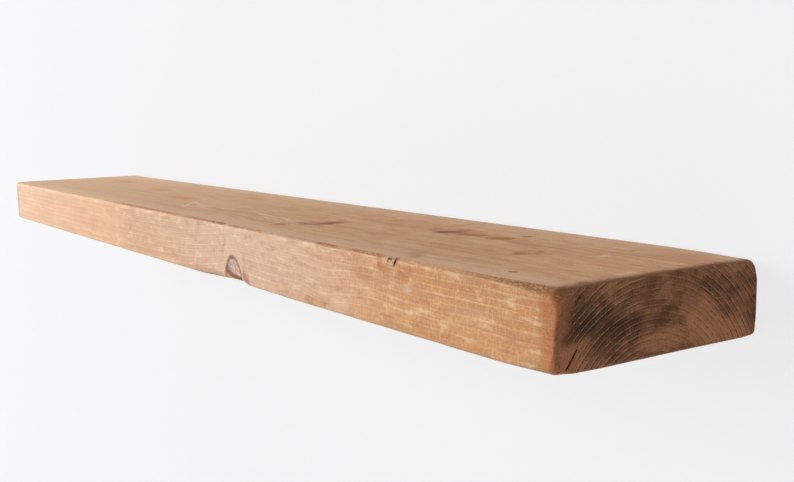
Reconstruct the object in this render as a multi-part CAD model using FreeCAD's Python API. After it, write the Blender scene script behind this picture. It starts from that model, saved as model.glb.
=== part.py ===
"""Floating wall shelf: one solid softwood plank pushed onto three concealed rod supports.

Units are millimetres. The wall is the plane y = 0, the room is towards -Y, +X runs along the
board and +Z is up. The origin is on the wall plane, at mid length, level with the board's underside.
"""
import FreeCAD
import Part
import math
import os

from FreeCAD import Vector

# Board
board_length = 1050.0
board_depth = 167.0
board_thickness = 48.0
edge_radius = 3.0
bore_front_cover = 37.0

# Chip torn out of the lower front edge beside the big knot
chip_from_left = 684.0
chip_height = 3.8
chip_long_run = 85.0
chip_short_run = 14.0
chip_reach = 26.0

# Supports along the board
support_names = ("left", "middle", "right")
support_end_inset = 125.0

# Support plate, let into a pocket in the board's back
plate_thickness = 4.0
plate_corner_radius = 5.0
plate_edge_ease = 0.4
screw_offset = 22.0
screw_edge_distance = 10.0
pocket_cheek = 8.0
pocket_side_clearance = 1.0
pocket_floor_clearance = 0.5

# Support rod, held to the plate by a countersunk bolt from behind
rod_diameter = 12.0
rod_tip_chamfer = 1.5
rod_side_clearance = 0.3
rod_tip_clearance = 6.0
drill_point_angle = 118.0

# Countersunk hexagon socket bolt
bolt_diameter = 6.0
bolt_head_diameter = 11.6
bolt_grip = 12.0
bolt_tip_chamfer = 0.8
bolt_head_land = 0.3
bolt_socket_across_flats = 4.0
bolt_socket_depth = 2.4
tapped_hole_spare = 4.0
thread_clearance = 0.05
bolt_hole_clearance = 0.2

# Countersunk wood screw
screw_crest_diameter = 5.0
screw_root_diameter = 3.2
screw_head_diameter = 9.6
screw_head_land = 0.3
screw_length = 50.0
screw_plain_length = 7.0
screw_point_length = 7.0
screw_pitch = 2.2
screw_recess_span = 4.6
screw_recess_wing = 1.2
screw_recess_depth = 2.0
screw_hole_clearance = 0.3
seat_clearance = 0.05

# Nylon wall plug, expanded by its screw
plug_diameter = 8.0
plug_length = 40.0
plug_bore_clearance = 0.1
plug_groove_count = 7
plug_groove_depth = 0.5
plug_groove_width = 1.4
plug_collar_length = 6.0
plug_slot_width = 1.2
plug_nose_length = 4.0
plug_nose_wall = 0.6

# Cuts run past the faces that they open
cut_overrun = 1.0

# Sizes that follow from the ones above
bore_depth = board_depth - bore_front_cover
rod_length = bore_depth - plate_thickness - rod_tip_clearance
rod_height = board_thickness / 2
plate_width = 2 * (screw_offset + screw_edge_distance)
plate_height = board_thickness - 2 * (pocket_cheek + pocket_side_clearance)
pocket_depth = plate_thickness + pocket_floor_clearance
support_span = board_length - 2 * support_end_inset
support_step = support_span / (len(support_names) - 1)

TOWARDS_WALL = Vector(0, 1, 0)
TOWARDS_ROOM = Vector(0, -1, 0)


def cylinder(radius, start, end, x=0, z=0):
    """A round bar along Y, between two places on that axis."""
    return Part.makeCylinder(radius, end - start, Vector(x, start, z), TOWARDS_WALL)


def turned(outline, x, z):
    """A solid turned about the Y axis from (radius, place along Y) points, moved to x and z."""
    points = [Vector(radius, along, 0) for radius, along in outline]
    wire = Part.makePolygon(points + points[:1])
    solid = Part.Face(wire).revolve(Vector(0, 0, 0), TOWARDS_WALL, 360)
    solid = Part.makeSolid(Part.Shell(solid.Faces)) if solid.ShapeType != "Solid" else solid
    solid.translate(Vector(x, 0, z))
    return solid


def rounded_slab(width, height, corner_radius, start, end, x, z):
    """A plate in the XZ plane with round corners, between two places along Y, centred on x and z."""
    slab = Part.makeBox(width, end - start, height, Vector(x - width / 2, start, z - height / 2))
    corners = [edge for edge in slab.Edges if abs(edge.tangentAt(edge.FirstParameter).y) > 0.5]
    return slab.makeFillet(corner_radius, corners)


def countersink(head_radius, shank_radius, start, direction, x, z):
    """A 90 degree countersink that narrows from the head's radius to the shank's along direction."""
    depth = head_radius - shank_radius
    return Part.makeCone(head_radius, shank_radius, depth, Vector(x, start, z), direction)


def support_places():
    """Each support's name with its place along the board."""
    return [(name, -support_span / 2 + i * support_step) for i, name in enumerate(support_names)]


def screw_places():
    """Each wall screw's name ending with its place along the board, two to a support."""
    places = []
    for name, x in support_places():
        for number, side in ((1, -1), (2, 1)):
            places.append((f"{name}_{number}", x + side * screw_offset))
    return places


def edge_chip():
    """The splinter missing from the lower front edge: a long run up to the knot and a short step down."""
    peak = chip_from_left - board_length / 2
    front = -board_depth - cut_overrun
    slope = chip_height / chip_reach
    tip = Vector(peak, -board_depth + chip_reach, -cut_overrun)
    top = Vector(peak, front, chip_height + slope * cut_overrun)
    left = Vector(peak - chip_long_run, front, -cut_overrun)
    right = Vector(peak + chip_short_run, front, -cut_overrun)
    corners = ((left, right, top), (left, tip, right), (left, top, tip), (right, tip, top))
    faces = [Part.Face(Part.makePolygon([*triangle, triangle[0]])) for triangle in corners]
    chip = Part.makeSolid(Part.makeShell(faces))
    if chip.Volume < 0:
        chip.reverse()
    return chip


def board():
    """The plank, sanded round but for its lower back edge, with a pocket and a bore at each support."""
    plank = Part.makeBox(
        board_length, board_depth, board_thickness, Vector(-board_length / 2, -board_depth, 0)
    )
    sanded = []
    for edge in plank.Edges:
        box = edge.BoundBox
        if box.YMin < -edge_radius or box.ZMax > edge_radius:
            sanded.append(edge)
    plank = plank.makeFillet(edge_radius, sanded).cut(edge_chip())
    bore_radius = rod_diameter / 2 + rod_side_clearance
    point_length = bore_radius / math.tan(math.radians(drill_point_angle / 2))
    for _, x in support_places():
        pocket = rounded_slab(
            plate_width + 2 * pocket_side_clearance,
            plate_height + 2 * pocket_side_clearance,
            plate_corner_radius + pocket_side_clearance,
            -pocket_depth,
            cut_overrun,
            x,
            rod_height,
        )
        bore = cylinder(bore_radius, -bore_depth, 0, x, rod_height)
        point = Part.makeCone(bore_radius, 0, point_length, Vector(x, -bore_depth, rod_height), TOWARDS_ROOM)
        plank = plank.cut(pocket.fuse([bore, point]))
    return plank.removeSplitter()


def plate(x):
    """The steel plate: two countersunk holes from the room side and one from the wall side."""
    body = rounded_slab(
        plate_width, plate_height, plate_corner_radius, -plate_thickness, 0, x, rod_height
    )
    front_rim = [edge for edge in body.Edges if edge.BoundBox.YMax < -plate_thickness / 2]
    body = body.makeChamfer(plate_edge_ease, front_rim)
    screw_hole_radius = screw_crest_diameter / 2 + screw_hole_clearance
    screw_seat_radius = screw_head_diameter / 2 + seat_clearance
    for side in (-1, 1):
        place = x + side * screw_offset
        hole = cylinder(screw_hole_radius, -plate_thickness - cut_overrun, cut_overrun, place, rod_height)
        land = cylinder(screw_seat_radius, -plate_thickness - cut_overrun,
                        -plate_thickness + screw_head_land, place, rod_height)
        seat = countersink(screw_seat_radius, screw_hole_radius, -plate_thickness + screw_head_land,
                           TOWARDS_WALL, place, rod_height)
        body = body.cut(hole.fuse([land, seat]))
    bolt_hole_radius = bolt_diameter / 2 + bolt_hole_clearance
    bolt_seat_radius = bolt_head_diameter / 2 + seat_clearance
    hole = cylinder(bolt_hole_radius, -plate_thickness - cut_overrun, cut_overrun, x, rod_height)
    land = cylinder(bolt_seat_radius, -bolt_head_land, cut_overrun, x, rod_height)
    seat = countersink(bolt_seat_radius, bolt_hole_radius, -bolt_head_land, TOWARDS_ROOM, x, rod_height)
    return body.cut(hole.fuse([land, seat]))


def rod(x):
    """The steel rod, tapped at the plate end and chamfered at the tip."""
    base = -plate_thickness
    tip = base - rod_length
    radius = rod_diameter / 2
    hole_radius = bolt_diameter / 2 + thread_clearance
    hole_end = base - (bolt_grip + tapped_hole_spare)
    hole_point = hole_end - hole_radius / math.tan(math.radians(drill_point_angle / 2))
    outline = (
        (0, tip),
        (radius - rod_tip_chamfer, tip),
        (radius, tip + rod_tip_chamfer),
        (radius, base),
        (hole_radius, base),
        (hole_radius, hole_end),
        (0, hole_point),
    )
    return turned(outline, x, rod_height)


def rod_bolt(x):
    """The countersunk bolt: its head lies flush with the wall side of the plate."""
    head_radius = bolt_head_diameter / 2
    radius = bolt_diameter / 2
    neck = -bolt_head_land - (head_radius - radius)
    tip = -plate_thickness - bolt_grip
    outline = (
        (0, tip),
        (radius - bolt_tip_chamfer, tip),
        (radius, tip + bolt_tip_chamfer),
        (radius, neck),
        (head_radius, -bolt_head_land),
        (head_radius, 0),
        (0, 0),
    )
    corner_radius = bolt_socket_across_flats / 2 / math.cos(math.pi / 6)
    ring = [
        Vector(x + corner_radius * math.cos(k * math.pi / 3), cut_overrun,
               rod_height + corner_radius * math.sin(k * math.pi / 3))
        for k in range(6)
    ]
    socket = Part.Face(Part.makePolygon([*ring, ring[0]]))
    socket = socket.extrude(TOWARDS_ROOM * (bolt_socket_depth + cut_overrun))
    return turned(outline, x, rod_height).cut(socket)


def wall_screw(x):
    """The wood screw: a countersunk head with a cross recess, a plain neck and a ridged thread."""
    face = -plate_thickness
    head_radius = screw_head_diameter / 2
    crest = screw_crest_diameter / 2
    root = screw_root_diameter / 2
    head_end = face + screw_head_land + (head_radius - crest)
    thread_start = head_end + screw_plain_length
    tip = face + screw_length
    thread_end = tip - screw_point_length
    outline = [(0, face), (head_radius, face), (head_radius, face + screw_head_land)]
    outline += [(crest, head_end), (crest, thread_start - (crest - root)), (root, thread_start)]
    turns = int((thread_end - thread_start) / screw_pitch)
    for turn in range(turns):
        ridge = thread_start + (turn + 0.5) * screw_pitch
        outline += [(crest, ridge), (root, ridge + screw_pitch / 2)]
    outline += [(root, thread_end), (0, tip)]
    screw = turned(outline, x, rod_height)
    for width, height in ((screw_recess_span, screw_recess_wing), (screw_recess_wing, screw_recess_span)):
        wing = Part.makeBox(
            width, screw_recess_depth + cut_overrun, height,
            Vector(x - width / 2, face - cut_overrun, rod_height - height / 2),
        )
        screw = screw.cut(wing)
    return screw


def wall_plug(x):
    """The nylon plug: a collar at the wall face, ringed grooves, a tapered nose and a lengthwise slot."""
    radius = plug_diameter / 2
    bore = screw_crest_diameter / 2 + plug_bore_clearance
    nose_start = plug_length - plug_nose_length
    groove_step = (nose_start - plug_collar_length) / plug_groove_count
    outline = [(bore, 0), (radius, 0)]
    for groove in range(plug_groove_count):
        start = plug_collar_length + groove * groove_step
        outline += [(radius, start), (radius - plug_groove_depth, start)]
        end = start + plug_groove_width
        outline += [(radius - plug_groove_depth, end), (radius, end)]
    outline += [(radius, nose_start), (bore + plug_nose_wall, plug_length), (bore, plug_length)]
    plug = turned(outline, x, rod_height)
    slot = Part.makeBox(
        plug_slot_width, plug_length - plug_collar_length + cut_overrun, plug_diameter + 2 * cut_overrun,
        Vector(x - plug_slot_width / 2, plug_collar_length, rod_height - radius - cut_overrun),
    )
    return plug.cut(slot)


def pieces():
    """Every piece by its node name."""
    made = {"shelf_board": board()}
    for name, x in support_places():
        made[f"plate_{name}"] = plate(x)
        made[f"rod_{name}"] = rod(x)
        made[f"rod_bolt_{name}"] = rod_bolt(x)
    for name, x in screw_places():
        made[f"wall_screw_{name}"] = wall_screw(x)
        made[f"wall_plug_{name}"] = wall_plug(x)
    return made


def main():
    os.makedirs("parts", exist_ok=True)
    for name, shape in pieces().items():
        shape.exportStep(f"parts/{name}.step")
        box = shape.BoundBox
        print(f"{name}: solids {len(shape.Solids)} valid {shape.isValid()} volume {shape.Volume:.1f}"
              f" size {box.XLength:.1f} x {box.YLength:.1f} x {box.ZLength:.1f}")


main()
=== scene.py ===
"""Looks of the floating shelf: the knotty softwood plank, its steel supports and the wall it hangs on.

Feature places are in millimetres from the board's left end, its top, its front or the wall.
"""
import math
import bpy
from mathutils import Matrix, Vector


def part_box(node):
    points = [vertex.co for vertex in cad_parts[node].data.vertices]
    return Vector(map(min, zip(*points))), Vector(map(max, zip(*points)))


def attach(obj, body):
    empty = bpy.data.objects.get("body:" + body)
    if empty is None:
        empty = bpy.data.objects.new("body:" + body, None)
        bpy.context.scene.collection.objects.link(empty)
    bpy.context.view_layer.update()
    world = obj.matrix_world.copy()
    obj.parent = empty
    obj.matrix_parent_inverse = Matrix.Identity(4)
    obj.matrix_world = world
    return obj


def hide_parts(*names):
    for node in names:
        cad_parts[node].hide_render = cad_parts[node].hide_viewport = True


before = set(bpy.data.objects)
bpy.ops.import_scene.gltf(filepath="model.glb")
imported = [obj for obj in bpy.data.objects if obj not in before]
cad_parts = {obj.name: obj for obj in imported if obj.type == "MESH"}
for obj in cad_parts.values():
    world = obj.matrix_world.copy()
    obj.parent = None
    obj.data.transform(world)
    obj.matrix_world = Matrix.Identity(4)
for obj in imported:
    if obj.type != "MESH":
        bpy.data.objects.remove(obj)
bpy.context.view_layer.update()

from types import SimpleNamespace

import bmesh
import bpy
from mathutils import Matrix, Vector, noise

MM = 0.001
board_low, board_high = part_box("shelf_board")
LENGTH = (board_high.x - board_low.x) / MM
DEPTH = (board_high.y - board_low.y) / MM
THICKNESS = (board_high.z - board_low.z) / MM
LEFT, FRONT, _ = (place / MM for place in board_low)
RIGHT, WALL, TOP = (place / MM for place in board_high)
SUPPORTS = ("left", "middle", "right")

# Shape of the plank
EDGE_RADIUS = 3.0
EDGE_RADIUS_WANDER = 0.6
ROUNDED_REACH = 11.0
CORNER_EXTRA_RADIUS = 3.2
CORNER_REACH = 16.0
LEFT_CORNER_SHARE = 0.4
BACK_CORNER_SHARE = 0.2
FRONT_CORNER_RADIUS = 1.9
FRONT_CORNER_REACH = 45.0
BACK_CORNER_RADIUS = 2.5
BACK_CORNER_REACH = 60.0
BACK_CORNER_DROP = 1.0
FRONT_CORNER_LIFT = 0.8
FRONT_CORNER_LEAN = 3.0
FRONT_CORNER_LEAN_DEPTH = 30.0
CORNER_WEAR_REACH = 45.0
CORNER_WEAR_BLEND = 14.0
WORN_FULL_WITHIN = 0.3 * ROUNDED_REACH
WORN_NONE_BEYOND = 1.3 * ROUNDED_REACH
WORN_FRONT_START = 985.0
WORN_FRONT_EXTRA_RADIUS = 6.0
WORN_BACK_START = 950.0
WORN_BACK_EXTRA_RADIUS = 3.2
WORN_BACK_LOWER_EXTRA_RADIUS = 1.4
WORN_LOWER_START = 995.0
WORN_LOWER_EXTRA_RADIUS = 3.4
FRAYED_DEPTH = 0.8
FRAYED_REACH = 7.0
ARC_STEPS = 5
FACE_WAVE = 0.16
DENT_DEPTH = 0.55
DENT_LEVEL = 0.18
CHIP_FROM_LEFT = 681.5
CHIP_HEIGHT = 3.8
CHIP_LONG_RUN = 78.0
CHIP_SHORT_RUN = 14.0
CHIP_TAIL_HEIGHT = 0.9
CHIP_TAIL_RUN = 90.0
CHIP_REACH = 26.0
CHIP_BLEND = 12.0
BOOLEAN_OVERRUN = 2.0
SHARP_ANGLE = math.radians(50)

# Fits of the pockets and bores round the supports
POCKET_CLEARANCE = 1.0
POCKET_FLOOR_CLEARANCE = 0.5
POCKET_CORNER_RADIUS = 6.0
BORE_CLEARANCE = 0.3
BORE_TIP_CLEARANCE = 6.0
BORE_SIDES = 48

# Rings of the tree, as they show on the right end; the pith lies below the underside
PITH_FROM_FRONT = 72.8
PITH_FROM_TOP = 90.8
RING_RADII = (
    39, 43, 47, 50.5, 54.5, 58.5, 62, 65.5, 69.5, 73.2, 76.8, 79.3, 82.2, 85.6, 89.5, 93.2, 97.4, 100.6,
    104, 107.2, 110.6, 114, 117.5, 121, 124.5, 128, 131.5, 135, 139, 143,
)

# Big knot at the lower front edge, leaning to the left
KNOT_FROM_LEFT = 667.8
KNOT_FROM_TOP = 44.5
KNOT_HALF_HEIGHT = 19.0
KNOT_HALF_WIDTH = 15.0
KNOT_LEAN = math.radians(22)
KNOT_SINK = 0.45
KNOT_FADE_DEPTHS = (30.0, 60.0)

# Shade inside the big knot: from left, from top, half sizes along and down
KNOT_SHADE = (657.6, 38.2, 6.4, 3.8)
KNOT_SHADE_DEPTH = 30.0

# Stains beside the big knot and along its foot: start and end from left and from top
KNOT_SIDE = ((687.0, 39.5), (692.5, 45.5))
KNOT_SIDE_HALF_WIDTH = 5.2
KNOT_FOOT = ((657.5, 40.8), (681.0, 43.8))
KNOT_FOOT_HALF_WIDTH = 3.0
KNOT_FOOT_HEIGHTS = (7.2, 5.4)

# Front colour wrapped round the upper part of the upright edge of the right end: height, half sizes
WRAP_HEIGHT = 42.0
WRAP_SIZE = (9.0, 2.8, 19.0)

# Camera, from the outline of the plank in the photograph
PHOTO_WIDTH_PX = 794
FOCAL_LENGTH_PX = 1036.1
CAMERA_PLACE = (912.9, -529.0, 144.1)
CAMERA_AZIMUTH = 55.729
CAMERA_ELEVATION = 7.570
CAMERA_ROLL = -0.977
SENSOR_WIDTH = 36.0


def on_front(from_left, from_top):
    """A place on the plank's front face, in millimetres in the frame."""
    return Vector((LEFT + from_left, FRONT, TOP - from_top))


def on_top(from_left, from_wall):
    """A place on the plank's top face, in millimetres in the frame."""
    return Vector((LEFT + from_left, WALL - from_wall, TOP))


def on_end(from_front, from_top):
    """A place on the plank's right end, in millimetres in the frame."""
    return Vector((RIGHT, FRONT + from_front, TOP - from_top))


PITH = Vector((0, FRONT + PITH_FROM_FRONT, TOP - PITH_FROM_TOP))


def rgb(red, green, blue):
    """A colour written as on screen, 0 to 255, as linear values."""
    def linear(value):
        value /= 255
        return value / 12.92 if value <= 0.04045 else ((value + 0.055) / 1.055) ** 2.4
    return (linear(red), linear(green), linear(blue), 1.0)


def link(name, mesh):
    """A new object for a mesh, in the scene."""
    obj = bpy.data.objects.new(name, mesh)
    bpy.context.scene.collection.objects.link(obj)
    return obj


class Graph:
    """Short ways to add nodes to one material or world."""

    def __init__(self, name, kind="Material"):
        library = bpy.data.worlds if kind == "World" else bpy.data.materials
        self.owner = library.new(name)
        self.owner.use_nodes = True
        self.tree = self.owner.node_tree
        self.tree.nodes.clear()
        self.output = self.node(f"ShaderNodeOutput{kind}")

    def node(self, kind, *values, **settings):
        """A new node with settings, and with values for its first inputs."""
        made = self.tree.nodes.new(kind)
        for key, value in settings.items():
            setattr(made, key, value)
        for socket, value in zip(made.inputs, values):
            self.put(socket, value)
        return made

    def put(self, socket, value):
        """Links a socket or sets a plain value."""
        if isinstance(value, bpy.types.NodeSocket):
            self.tree.links.new(value, socket)
        else:
            socket.default_value = value

    def place(self):
        """The place in millimetres and the direction of the surface, both in the frame."""
        coords = self.node("ShaderNodeTexCoord")
        place = self.vector("MULTIPLY", coords.outputs["Object"], (1 / MM, 1 / MM, 1 / MM))
        return place, coords.outputs["Normal"]

    def looked_at(self):
        """1 where the camera looks, also by a reflection, and 0 where only light falls."""
        path = self.node("ShaderNodeLightPath")
        return self.math("MAXIMUM", path.outputs["Is Camera Ray"], path.outputs["Is Glossy Ray"])

    def math(self, operation, *values, clamp=False):
        return self.node("ShaderNodeMath", *values, operation=operation, use_clamp=clamp).outputs[0]

    def add(self, *values):
        total = values[0]
        for value in values[1:]:
            total = self.math("ADD", total, value)
        return total

    def mul(self, *values):
        product = values[0]
        for value in values[1:]:
            product = self.math("MULTIPLY", product, value)
        return product

    def plus(self, value, *parts):
        """A value plus each field times its share."""
        for field, share in parts:
            value = self.math("MULTIPLY_ADD", field, share, value)
        return value

    def vector(self, operation, *values):
        made = self.node("ShaderNodeVectorMath", *values, operation=operation)
        return made.outputs["Value" if operation in ("LENGTH", "DOT_PRODUCT") else "Vector"]

    def split(self, vector):
        return self.node("ShaderNodeSeparateXYZ", vector).outputs

    def combine(self, x, y, z):
        return self.node("ShaderNodeCombineXYZ", x, y, z).outputs[0]

    def noise(self, place, scale, detail=2.0, roughness=0.5, output="Fac"):
        """Noise over a place, with its own scale along each axis."""
        spread = self.vector("MULTIPLY", place, scale)
        made = self.node("ShaderNodeTexNoise", spread)
        made.inputs["Scale"].default_value = 1.0
        made.inputs["Detail"].default_value = detail
        made.inputs["Roughness"].default_value = roughness
        return made.outputs[output]

    def wander(self, place, scale, reach):
        """A place moved about by noise, by up to half the reach along each axis."""
        offset = self.vector("SUBTRACT", self.noise(place, scale, output="Color"), (0.5, 0.5, 0.5))
        return self.vector("MULTIPLY_ADD", offset, reach, place)

    def span(self, value, low, high, to_low=0.0, to_high=1.0, kind="SMOOTHSTEP"):
        """A smooth step of value from low to high."""
        made = self.node("ShaderNodeMapRange", value, low, high, to_low, to_high, interpolation_type=kind)
        return made.outputs[0]

    def mix(self, share, first, second):
        made = self.node("ShaderNodeMix", share, data_type="RGBA")
        self.put(made.inputs[6], first)
        self.put(made.inputs[7], second)
        return made.outputs[2]

    def stain(self, colour, tone, field, low, high, *shares):
        """A tone mixed over a colour where a field goes from low to high."""
        return self.mix(self.mul(self.span(field, low, high), *shares), colour, tone)

    def scaled(self, value, steps):
        """A value times a smooth step of each field: field, low, high and what it is at both."""
        for field, low, high, to_low, to_high in steps:
            value = self.mul(value, self.span(field, low, high, to_low, to_high))
        return value

    def ellipsoid(self, place, centre, halves):
        """Distance from a centre, 1 on the ellipsoid with these half sizes."""
        offset = self.vector("SUBTRACT", place, tuple(centre))
        return self.vector("LENGTH", self.vector("DIVIDE", offset, halves))

    def stroke(self, place, start, end, half_width):
        """Share of a soft line from start to end: 1 on it, 0 beside it."""
        run = end - start
        from_start = self.vector("SUBTRACT", place, tuple(start))
        share = self.vector("DOT_PRODUCT", from_start, tuple(run / run.length_squared))
        share = self.math("ADD", share, 0.0, clamp=True)
        foot = self.node("ShaderNodeVectorMath", run, operation="SCALE")
        self.put(foot.inputs["Scale"], share)
        away = self.vector("LENGTH", self.vector("SUBTRACT", from_start, foot.outputs[0]))
        return self.span(away, half_width * 0.3, half_width, 1, 0)

    def curve(self, value, points):
        """Straight runs between points, which go from 0 to 1 both ways."""
        made = self.node("ShaderNodeFloatCurve")
        line = made.mapping.curves[0]
        for place, height in points[1:-1]:
            line.points.new(place, height)
        for point, (place, height) in zip(line.points, points):
            point.location = (place, height)
            point.handle_type = "VECTOR"
        made.mapping.update()
        self.put(made.inputs["Value"], value)
        return made.outputs[0]

    def bump(self, height, distance):
        made = self.node("ShaderNodeBump")
        made.inputs["Strength"].default_value = 1.0
        made.inputs["Distance"].default_value = distance
        self.put(made.inputs["Height"], height)
        return made.outputs[0]

    def surface(self, colour, roughness, normal, **constants):
        shader = self.node("ShaderNodeBsdfPrincipled")
        self.put(shader.inputs["Base Color"], colour)
        self.put(shader.inputs["Roughness"], roughness)
        self.put(shader.inputs["Normal"], normal)
        for key, value in constants.items():
            shader.inputs[key.replace("_", " ")].default_value = value
        return self.shown(shader)

    def shown(self, shader):
        """Puts a shader out, and gives back the material or world."""
        self.put(self.output.inputs["Surface"], shader.outputs[0])
        return self.owner


# Relief of the surfaces in millimetres, and the weak shine of wax
GRAIN_RELIEF = 0.3
STEEL_RELIEF = 0.04
NYLON_RELIEF = 0.05
PAINT_RELIEF = 0.1
WAXED_SPECULAR = 0.16

# Stain tones, with SHADOW as the tone of painted shade
BROWN = rgb(142, 76, 16)
RED = rgb(176, 90, 34)
RUST = rgb(180, 110, 56)
ORANGE = rgb(212, 132, 74)
OLIVE = rgb(140, 100, 52)
PALE = rgb(240, 208, 172)
BLUSH = rgb(222, 196, 176)
ASH = rgb(192, 164, 146)
AMBER = rgb(164, 100, 0)
UMBER = rgb(126, 76, 0)
SHADOW = rgb(150, 112, 82)
BARK = rgb(164, 114, 92)

# Knots and clouds on the top: from left, from wall, half sizes along and across the grain, tone, strength
TOP_SPOTS = (
    (711, 100, 14, 19, RED, 0.75),
    (712, 101, 9, 15, BROWN, 0.90),
    (697, 112, 12, 10, OLIVE, 0.40),
    (690, 135, 10, 11, RED, 0.60),
    (580, 110, 30, 4, OLIVE, 0.45),
    (830, 57, 30, 20, RED, 0.42),
    (797, 34, 6, 18, RUST, 0.45),
    (943, 88, 14, 13, RUST, 0.35),
    (942, 97, 6, 7, AMBER, 0.90),
    (980, 34, 3.0, 4.5, AMBER, 0.50),
    (986, 147.5, 5, 5, PALE, 0.35),
    (979, 49, 3.0, 7, RUST, 0.55),
    (984, 64.5, 5, 6, PALE, 0.60),
    (1040, 103, 6, 9, PALE, 0.50),
    (897, 146, 9, 8, OLIVE, 0.35),
    (909, 155, 7, 6, BROWN, 0.42),
    (115, 57, 44, 15, ORANGE, 0.52),
    (277, 73, 30, 12, ORANGE, 0.55),
    (397, 96, 42, 14, ORANGE, 0.56),
    (464, 42, 30, 11, ORANGE, 0.38),
    (690, 40, 14, 12, RUST, 0.12),
    (1020, 30, 30, 22, RED, 0.25),
    (760, 60, 60, 22, RUST, 0.22),
    (600, 64, 50, 14, RUST, 0.20),
    (905, 112, 60, 16, RUST, 0.25),
    (760, 90, 22, 7, PALE, 0.25),
    (850, 130, 34, 9, PALE, 0.25),
    (500, 120, 18, 5, PALE, 0.45),
    (647, 120, 22, 3, PALE, 0.45),
    (692, 121, 7, 3.5, PALE, 0.45),
)
TOP_SPOT_HEIGHT = 14.0

# Dark streaks of the knots on the top: start and end from left and from wall, half width, tone, strength
TOP_STREAKS = (
    ((800, 61.5), (812, 66), 7.0, AMBER, 0.40),
    ((821.5, 66.5), (826, 60), 10.0, UMBER, 0.95),
    ((827, 54), (823, 45), 8.0, RED, 0.50),
    ((842, 63.5), (856, 58), 8.0, AMBER, 0.80),
    ((875.5, 60.5), (880.5, 56), 9.0, AMBER, 0.95),
    ((882, 39), (883, 37.5), 6.0, AMBER, 0.90),
    ((993, 147), (994, 146), 3.0, UMBER, 1.00),
    ((690, 119.5), (710, 117.5), 7.0, OLIVE, 0.50),
)

# Loop of a small knot on the top: from left, from wall, half sizes
LOOP_KNOT = (943, 90, 6.5, 11)
LOOP_KNOT_DEPTH = 100.0

# Clouds on the front, and painted shade in the SHADOW tone along the lower front edge: from left, from top,
# half sizes along and down, tone, strength
FRONT_SPOTS = (
    (715, 24, 190, 60, BLUSH, 0.44),
    (540, 24, 190, 60, ASH, 0.26),
    (886, 5.5, 4, 7, RUST, 0.85),
    (891, 9.5, 6, 4, RUST, 0.55),
    (912, 9, 8, 7, RUST, 0.60),
    (919, 8, 3, 6, RUST, 0.85),
    (901, 11, 4, 3, PALE, 0.30),
    (794, 43.6, 10, 5, RUST, 0.62),
    # Painted shade along the lower front edge, where its rounding turns down, away from the light
    (816, 44.7, 8, 4, SHADOW, 0.68),
    (628, 46.5, 44, 6, SHADOW, 0.60),
    (1034, 45, 16, 7, SHADOW, 0.45),
    (905, 45, 24, 4, SHADOW, 0.30),
    (968, 6.0, 5, 1.6, RED, 0.45),
    (986, 5.4, 6, 1.8, RED, 0.60),
    (1002, 5.2, 4, 1.6, RED, 0.45),
    (938, 24, 6, 1.6, RED, 0.40),
    (834, 39, 15, 9, PALE, 0.40),
    (868, 15, 16, 7, RUST, 0.40),
    (687, 28, 5, 10, RUST, 0.25),
    (687.5, 40, 8, 9, BARK, 0.50),
    (1041, 14, 6, 16, RUST, 0.55),
    (1041, 38, 5, 12, RUST, 0.35),
    (975, 10, 34, 4, RUST, 0.18),
    (930, 19, 26, 4, RUST, 0.25),
    (430.5, 24, 3.4, 4.8, OLIVE, 0.55),
)
FRONT_SPOT_DEPTH = 10.0

# Fine lines on the front: start and end from left and from top, half width, tone, strength
FRONT_LINES = (
    ((652.8, 13.0), (647.4, 24.0), 3.0, RUST, 0.40),
    ((591.8, 26.2), (590.3, 40.6), 1.8, PALE, 0.35),
)

# Branches that bend the rings on the top: from left, from wall, half size, bend
TOP_BRANCHES = (
    (706, 104, 13, 3.0),
    (824, 58, 12, 3.0),
    (878, 58, 9, 2.0),
    (944, 88, 11, 3.0),
)

# Bends of the rings on the front: from left, from top, half sizes along and down, bend
FRONT_BENDS = (
    (811, 36, 24, 26, -2.0),
    (872, 26, 26, 40, 1.1),
)

# Stain gathered on the upper front edge: from left, half length, tone, strength
EDGE_STAINS = (
    (470, 110, RUST, 0.95),
    (598, 30, RED, 0.70),
    (636, 22, BROWN, 1.00),
    (690, 38, RUST, 0.75),
    (775, 24, RUST, 0.40),
    (817, 18, BROWN, 0.70),
    (868, 26, BROWN, 0.60),
    (990, 46, RUST, 0.30),
)

# Pale scratch on the top, from left and from wall, with strengths
SCRATCH = ((489, 135), (456, 106), (483, 114), (513, 111), (598, 108), (660, 113), (692, 120))
SCRATCH_STRENGTHS = (0.85, 0.65, 0.50, 0.40, 0.40, 0.40)
SCRATCH_HALF_WIDTH = 2.4

# Marks of a small knot at the upper front edge: start and end from left and from top, half width, strength
EDGE_KNOT_MARKS = (
    ((904.8, 1.5), (902.7, 5.0), 1.4, 0.95),
    ((895.4, 3.6), (896.4, 1.9), 0.8, 0.80),
    ((896.4, 1.9), (899.8, 1.9), 0.6, 0.65),
    ((899.8, 1.9), (899.4, 3.2), 0.5, 0.45),
)

# Crack in the right end: from front and from top, with widths at shares of its length
CRACK_START = (8.4, 43.8)
CRACK_END = (15.8, 34.4)
CRACK_WIDTHS = ((0.0, 0.3), (0.18, 1.9), (0.4, 1.6), (0.62, 0.7), (1.0, 0.12))
CRACK_DEPTH = 7.0
MARK_WIDTHS = ((0.0, 0.3), (0.3, 1.3), (0.7, 1.0), (1.0, 0.15))
MARK_DEPTH = 5.5
CRACK_TAPER = 0.3
# Half width of the painted shade inside the crack, in millimetres
CRACK_SHADE_HALF_WIDTH = 1.0
MARK_STAIN_DEPTH = 1.0
MARK_STAIN_MARGIN = 0.8

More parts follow.
